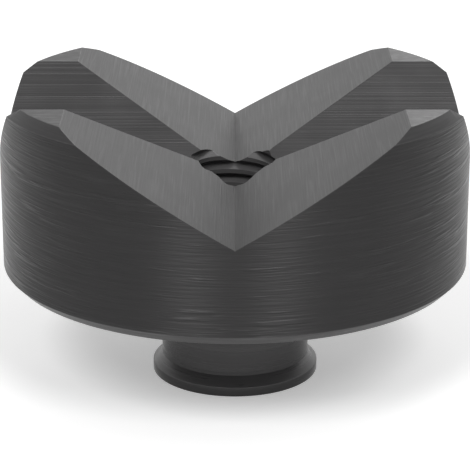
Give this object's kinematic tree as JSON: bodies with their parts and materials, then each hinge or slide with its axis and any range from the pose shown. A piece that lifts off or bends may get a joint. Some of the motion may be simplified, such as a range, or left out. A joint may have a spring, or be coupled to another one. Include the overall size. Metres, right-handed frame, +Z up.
{
  "type": "v-block insert",
  "caption": "Round blackened steel V-block insert with crossing wide and narrow V-grooves, a central tapped hole and an undercut stub for a support jack.",
  "frame": {"origin": "centre of the stub's end face, the lowest point on the axis", "axes": "+Z up along the axis of the block, stub and tapped hole; the 120 degree groove runs along Y and the 90 degree groove along X"},
  "size_m": [0.05, 0.05, 0.032],
  "materials": {
    "burnished_steel": "blackened, machined"
  },
  "bodies": {
    "root": {"v_block": "burnished_steel"}
  },
  "joints": []
}
